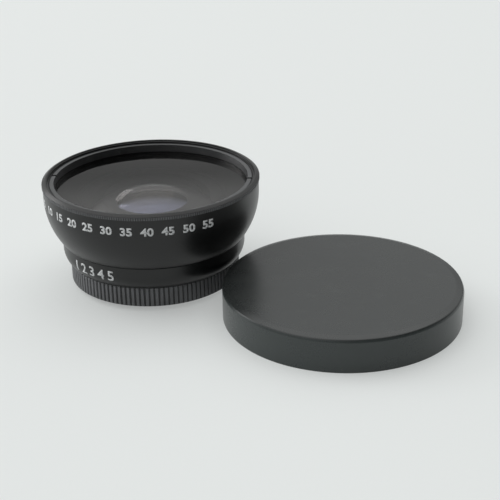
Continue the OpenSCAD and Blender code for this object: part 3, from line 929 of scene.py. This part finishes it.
class LENS_OT_macro_barrel(bpy.types.Operator):
    """Rear section: turned barrel with its rear thread, bore thread, knurled grip and shoulder"""
    bl_idname = "lens.macro_barrel"
    bl_label = "Macro barrel"

    def execute(self, context):
        sizes = context.scene.lens_sizes
        ridge, groove = sizes.thread_depth / MM, sizes.grip_groove / MM
        corners = [
            (REAR_BORE_R, 0, LEDGE_FILLET),
            (REAR_THREAD_R - ridge, 0, EDGE_FILLET),
            (REAR_THREAD_R - ridge, GRIP_FOOT_Z, 0),
            (GRIP_R - groove, GRIP_FOOT_Z, LEDGE_FILLET),
            (GRIP_R - groove, SHOULDER_Z, 0),
            *leaning_arc(*SHOULDER, steps=14),
            (COLLAR_R, SEAM_Z - COLLAR_BEVEL, COLLAR_FILLET),
            (COLLAR_R - COLLAR_BEVEL, SEAM_Z, COLLAR_FILLET / 2),
            (JOINT_BORE_R + ridge, SEAM_Z, LEDGE_FILLET),
            (JOINT_BORE_R + ridge, JOINT_BORE_Z, 0),
            (MACRO_HOLLOW_R, JOINT_BORE_Z, LEDGE_FILLET),
            (MACRO_HOLLOW_R, MACRO_HOLLOW_Z, 0),
            (MACRO_RING_R + GLASS_FIT, MACRO_HOLLOW_Z, 0),
            (MACRO_RING_R + GLASS_FIT, MACRO_RING_Z, 0),
            (MACRO_LENS_R + GLASS_FIT, MACRO_RING_Z, 0),
            (MACRO_LENS_R + GLASS_FIT, MACRO_SEAT_Z, 0),
            (MACRO_BORE_R, MACRO_SEAT_Z, LEDGE_FILLET),
            (MACRO_BORE_R, REAR_BORE_Z, LEDGE_FILLET),
            (REAR_BORE_R, REAR_BORE_Z, 0),
        ]
        finished("macro_shell", spin("macro_shell", rounded(corners), sizes.spin_steps),
                 finish("anodised_metal"), "macro_section", ("macro_barrel",))
        rib_ring("grip_ribs", "macro_section", GRIP_R - groove, GRIP_FOOT_Z, SHOULDER_Z, sizes.grip_ribs,
                 sizes.grip_groove, GRIP_RIB_FOOT, GRIP_RIB_CREST, GRIP_RIB_BEVEL)
        screw_thread("rear_thread", "macro_section", REAR_THREAD_R - ridge, REAR_LEAD,
                     GRIP_FOOT_Z - REAR_RUN_OUT, sizes.thread_depth)
        screw_thread("bore_thread", "macro_section", JOINT_BORE_R + ridge, JOINT_BORE_Z + JOINT_LEAD,
                     SEAM_Z - JOINT_RUN_OUT, sizes.thread_depth, inward=1.0)
        return {"FINISHED"}


class LENS_OT_macro_optics(bpy.types.Operator):
    """Close-up glass of the rear section and the slotted ring that holds it"""
    bl_idname = "lens.macro_optics"
    bl_label = "Macro glass and ring"

    def execute(self, context):
        steps = context.scene.lens_sizes.spin_steps
        face = MACRO_RING_BORE_R, MACRO_RING_Z, MACRO_FRONT_CURVE
        front = dome(*face, MACRO_RING_BORE_R, steps=24)
        rim_z = dome_z(*face, MACRO_LENS_R)
        rear = dome(MACRO_BORE_R, MACRO_SEAT_Z, MACRO_REAR_CURVE, MACRO_LENS_R, steps=12, up=-1)[::-1]
        outline = rounded([*front, (MACRO_LENS_R, rim_z, GLASS_FILLET), *rear])
        glass = painted_edge(spin("macro_glass", outline, steps), MACRO_BORE_R, finish("inner_glass"),
                             finish("edge_paint"))
        finished("macro_glass", glass, finish("inner_glass"), "macro_section",
                 ("macro_lens",))
        ring = ring_outline(MACRO_RING_R, MACRO_RING_BORE_R, MACRO_RING_Z, MACRO_RING_TOP_Z)
        mesh = with_slots(spin("macro_retaining_ring", ring, steps), MACRO_RING_TOP_Z, MACRO_RING_R)
        finished("macro_retaining_ring", mesh, finish("ring_metal"), "macro_section",
                 ("macro_lens_ring",))
        return {"FINISHED"}


class LENS_OT_wide_barrel(bpy.types.Operator):
    """Front section: turned bowl with its joint thread, fine rim band and filter thread"""
    bl_idname = "lens.wide_barrel"
    bl_label = "Wide barrel"

    def execute(self, context):
        sizes = context.scene.lens_sizes
        ridge, groove = sizes.thread_depth / MM, sizes.band_groove / MM
        thread_root = FRONT_THREAD_R + FILTER_RIDGE
        corners = [
            (INNER_RING_R + GLASS_FIT, JOINT_END_Z, LEDGE_FILLET),
            (CELL_R, JOINT_END_Z, EDGE_FILLET),
            (CELL_R, CELL_GROOVE_Z, 0),
            (CELL_GROOVE_R, CELL_GROOVE_Z, 0),
            (CELL_GROOVE_R, JOINT_END_Z, EDGE_FILLET),
            (JOINT_R - ridge, JOINT_END_Z, EDGE_FILLET),
            (JOINT_R - ridge, SEAM_Z, 0),
            (BOWL_FOOT_R, SEAM_Z, FOOT_FILLET),
            *leaning_arc(*BOWL, steps=40)[1:],
            (BOWL_R, BAND_Z, 0),
            (BAND_R - groove, BAND_Z, 0),
            (BAND_R - groove, RIM_BEVEL_Z - BAND_LIP_H, 0),
            (BAND_R - BAND_LIP_T, RIM_BEVEL_Z, RIM_FILLET),
            (RIM_BEVEL_R, RIM_Z, EDGE_FILLET),
            (thread_root + FILTER_BEVEL, RIM_Z, RIM_FILLET),
            (thread_root, RIM_Z - FILTER_BEVEL, 0),
            (thread_root, FRONT_RING_TOP_Z, 0),
            (FRONT_RING_R + GLASS_FIT, FRONT_RING_TOP_Z, RIM_FILLET / 2),
            (FRONT_RING_R + GLASS_FIT, FRONT_RING_Z, 0),
            (FRONT_LENS_R + GLASS_FIT, FRONT_RING_Z, 0),
            (FRONT_LENS_R + GLASS_FIT, FRONT_SEAT_Z, 0),
            (FRONT_SEAT_R + FLANK_ROOM, FRONT_SEAT_Z, LEDGE_FILLET),
            (FRONT_TAIL_R + FLANK_ROOM, FRONT_TAIL_Z, FLANK_FILLET),
            (INNER_BORE_R, THROAT_Z, FLANK_FILLET / 2),
            (INNER_BORE_R, INNER_LEDGE_Z, LEDGE_FILLET),
            (INNER_LENS_R + GLASS_FIT, INNER_LEDGE_Z, 0),
            (INNER_LENS_R + GLASS_FIT, INNER_EDGE_Z, 0),
            (INNER_RING_R + GLASS_FIT, INNER_EDGE_Z, 0),
        ]
        finished("wide_shell", spin("wide_shell", rounded(corners), sizes.spin_steps),
                 finish("anodised_metal"), "wide_section", ("wide_barrel",))
        rib_ring("rim_ribs", "wide_section", BAND_R - groove, BAND_Z, RIM_BEVEL_Z, sizes.band_ribs,
                 sizes.band_groove, BAND_RIB_FOOT, BAND_RIB_CREST, BAND_RIB_BEVEL)
        screw_thread("joint_thread", "wide_section", JOINT_R - ridge, JOINT_END_Z + JOINT_LEAD,
                     SEAM_Z - JOINT_RUN_OUT, sizes.thread_depth)
        screw_thread("filter_thread", "wide_section", thread_root, FRONT_RING_TOP_Z + FILTER_LEAD,
                     RIM_Z - FILTER_RUN_OUT, FILTER_RIDGE * MM, inward=1.0)
        return {"FINISHED"}


class LENS_OT_front_optics(bpy.types.Operator):
    """Large front glass, inner glass, and the two slotted rings that hold them"""
    bl_idname = "lens.front_optics"
    bl_label = "Front optics"

    def execute(self, context):
        steps = context.scene.lens_sizes.spin_steps
        face = FRONT_RING_BORE_R, FRONT_RING_Z, FRONT_FACE_CURVE
        front = dome(*face, FRONT_RING_BORE_R, steps=30)
        edge_z = dome_z(*face, FRONT_LENS_R)
        sag = front[0][1] - FRONT_MID_T - FRONT_TAIL_Z
        hollow_curve = (FRONT_HOLLOW_R ** 2 + sag ** 2) / (2 * sag)
        hollow = dome(FRONT_HOLLOW_R, FRONT_TAIL_Z, hollow_curve, FRONT_HOLLOW_R, steps=40)[::-1]
        outline = rounded([
            *front, (FRONT_LENS_R, edge_z, GLASS_FILLET), (FRONT_LENS_R, FRONT_SEAT_Z, GLASS_STEP_FILLET),
            (FRONT_SEAT_R, FRONT_SEAT_Z, GLASS_STEP_FILLET),
            (FRONT_TAIL_R, FRONT_TAIL_Z, GLASS_STEP_FILLET), *hollow])
        glass = painted_edge(spin("front_glass", outline, steps), FRONT_HOLLOW_R, finish("front_glass"),
                             finish("edge_paint"))
        finished("front_glass", glass, finish("front_glass"), "wide_glass", ("front_lens",))

        face = INNER_BORE_R, INNER_LEDGE_Z, INNER_FRONT_CURVE
        crown = dome(*face, INNER_BORE_R, steps=24)
        crown_edge_z = dome_z(*face, INNER_LENS_R)
        cup = dome(INNER_RING_BORE_R, INNER_EDGE_Z, INNER_REAR_CURVE, INNER_RING_BORE_R, steps=30)[::-1]
        outline = rounded([
            *crown, (INNER_LENS_R, crown_edge_z, GLASS_FILLET), (INNER_LENS_R, INNER_EDGE_Z, GLASS_FILLET),
            *cup])
        glass = painted_edge(spin("inner_glass", outline, steps), INNER_RING_BORE_R, finish("inner_glass"),
                             finish("edge_paint"))
        finished("inner_glass", glass, finish("inner_glass"), "wide_glass", ("inner_lens",))

        for name, node, outer, inner, low, high, slots_z in (
                ("front_retaining_ring", "front_lens_ring", FRONT_RING_R, FRONT_RING_BORE_R, FRONT_RING_Z,
                 FRONT_RING_TOP_Z, FRONT_RING_TOP_Z),
                ("inner_retaining_ring", "inner_lens_ring", INNER_RING_R, INNER_RING_BORE_R, INNER_RING_Z,
                 INNER_EDGE_Z, INNER_RING_Z)):
            mesh = with_slots(spin(name, ring_outline(outer, inner, low, high), steps), slots_z, outer)
            finished(name, mesh, finish("ring_metal"), "wide_section", (node,))
        return {"FINISHED"}


class LENS_OT_print(bpy.types.Operator):
    """White printed scales: plain numbers on the bowl and larger numbers on the collar"""
    bl_idname = "lens.print"
    bl_label = "Printed scales"

    def execute(self, context):
        sizes = context.scene.lens_sizes
        printed_scale("bowl_scale", "wide_section", BOWL_PRINT_UNIT, BOWL_PRINT_START, BOWL_PRINT_STEP,
                      BOWL_PRINT_COUNT, sizes.bowl_figure_z, sizes.bowl_figure_h, BOWL, BOWL_PRINT_BOLD,
                      BOWL_PRINT_WIDEN)
        printed_scale("collar_scale", "macro_section", COLLAR_PRINT_UNIT, COLLAR_PRINT_START,
                      COLLAR_PRINT_STEP, COLLAR_PRINT_COUNT, sizes.collar_figure_z, sizes.collar_figure_h,
                      SHOULDER, COLLAR_PRINT_BOLD, COLLAR_PRINT_WIDEN)
        return {"FINISHED"}


class LENS_OT_cap(bpy.types.Operator):
    """Slip-on cap lying open side down beside the lens"""
    bl_idname = "lens.cap"
    bl_label = "Slip-on cap"

    def execute(self, context):
        steps = context.scene.lens_sizes.spin_steps
        inner_top = CAP_H - CAP_TOP_T
        outline = rounded([
            (0, CAP_H, 0), (CAP_R - CAP_ROLL_W, CAP_H, CAP_ROLL_FILLET),
            (CAP_R - CAP_CORNER_W, CAP_H - CAP_CORNER_DROP, CAP_CORNER_FILLET),
            (CAP_R, CAP_H - CAP_SIDE_DROP, CAP_SIDE_FILLET),
            (CAP_R, 0, CAP_LIP_FILLET), (CAP_INNER_R, 0, CAP_LIP_INNER_FILLET),
            (CAP_INNER_R, inner_top, CAP_INSIDE_FILLET), (0, inner_top, 0)], steps=6)
        finished("slip_cap", spin("slip_cap", outline, steps, (CAP_X, CAP_Y)), finish("moulded_plastic"),
                 "cap", ("front_cap",))
        return {"FINISHED"}


class LENS_OT_stage(bpy.types.Operator):
    """Camera at the photo's angle, soft light and a plain pale floor"""
    bl_idname = "lens.stage"
    bl_label = "Stage"

    def execute(self, context):
        scene, stage = context.scene, context.scene.lens_stage
        scene.view_settings.view_transform = "Standard"
        mesh = bpy.data.meshes.new("floor")
        corners = [(x * FLOOR_HALF, y * FLOOR_HALF, 0) for x, y in ((-1, -1), (1, -1), (1, 1), (-1, 1))]
        mesh.from_pydata(corners, [], [(0, 1, 2, 3)])
        floor = bpy.data.objects.new("floor", mesh)
        scene.collection.objects.link(floor)
        mesh.materials.append(stage_floor(tuple(stage.floor), stage.floor_glow))

        camera_data = bpy.data.cameras.new("camera")
        camera_data.lens, camera_data.sensor_width = stage.focal_length, SENSOR_W
        camera_data.clip_start = CLIP_START
        camera = bpy.data.objects.new("camera", camera_data)
        scene.collection.objects.link(camera)
        tilt = Matrix.Rotation(QUARTER - stage.camera_pitch, 4, "X")
        lean = Matrix.Rotation(-stage.camera_roll, 4, "Z")
        camera.matrix_world = Matrix.Translation(Vector(stage.camera_place)) @ tilt @ lean
        scene.camera = camera

        scene.world = shaded_room(stage)

        for name, place, size, power in (
                ("left_window", WINDOW_PLACE, WINDOW_SIZE, stage.window),
                ("overhead", OVERHEAD_PLACE, OVERHEAD_SIZE, stage.overhead)):
            data = bpy.data.lights.new(name, "AREA")
            data.shape, data.size, data.size_y, data.energy = "RECTANGLE", *size, power
            lamp = bpy.data.objects.new(name, data)
            lamp.location = place
            lamp.rotation_euler = (LAMP_AIM - Vector(place)).to_track_quat("-Z", "Y").to_euler()
            scene.collection.objects.link(lamp)
        return {"FINISHED"}


# Panel and registration

OPERATORS = (LENS_OT_macro_barrel, LENS_OT_macro_optics, LENS_OT_wide_barrel, LENS_OT_front_optics,
             LENS_OT_print, LENS_OT_cap, LENS_OT_stage)


class LENS_PT_panel(bpy.types.Panel):
    """Pieces, sizes and finishes of the conversion lens"""
    bl_idname = "LENS_PT_panel"
    bl_label = "Conversion lens"
    bl_space_type = "VIEW_3D"
    bl_region_type = "UI"
    bl_category = "Lens"

    def draw(self, context):
        for operator in OPERATORS:
            self.layout.operator(operator.bl_idname)
        for group in (context.scene.lens_sizes, context.scene.lens_finish, context.scene.lens_stage):
            box = self.layout.box()
            for key in group.__annotations__:
                box.prop(group, key)


CLASSES = (LensSizes, LensFinish, StageSettings, *OPERATORS, LENS_PT_panel)


def register():
    for cls in CLASSES:
        bpy.utils.register_class(cls)
    bpy.types.Scene.lens_sizes = bpy.props.PointerProperty(type=LensSizes)
    bpy.types.Scene.lens_finish = bpy.props.PointerProperty(type=LensFinish)
    bpy.types.Scene.lens_stage = bpy.props.PointerProperty(type=StageSettings)


def unregister():
    for name in ("lens_sizes", "lens_finish", "lens_stage"):
        delattr(bpy.types.Scene, name)
    for cls in reversed(CLASSES):
        bpy.utils.unregister_class(cls)


def main():
    """Builds every piece and the stage."""
    register()
    bpy.ops.lens.macro_barrel()
    bpy.ops.lens.macro_optics()
    bpy.ops.lens.wide_barrel()
    bpy.ops.lens.front_optics()
    bpy.ops.lens.print()
    bpy.ops.lens.cap()
    bpy.ops.lens.stage()


if __name__ == "__main__":
    main()
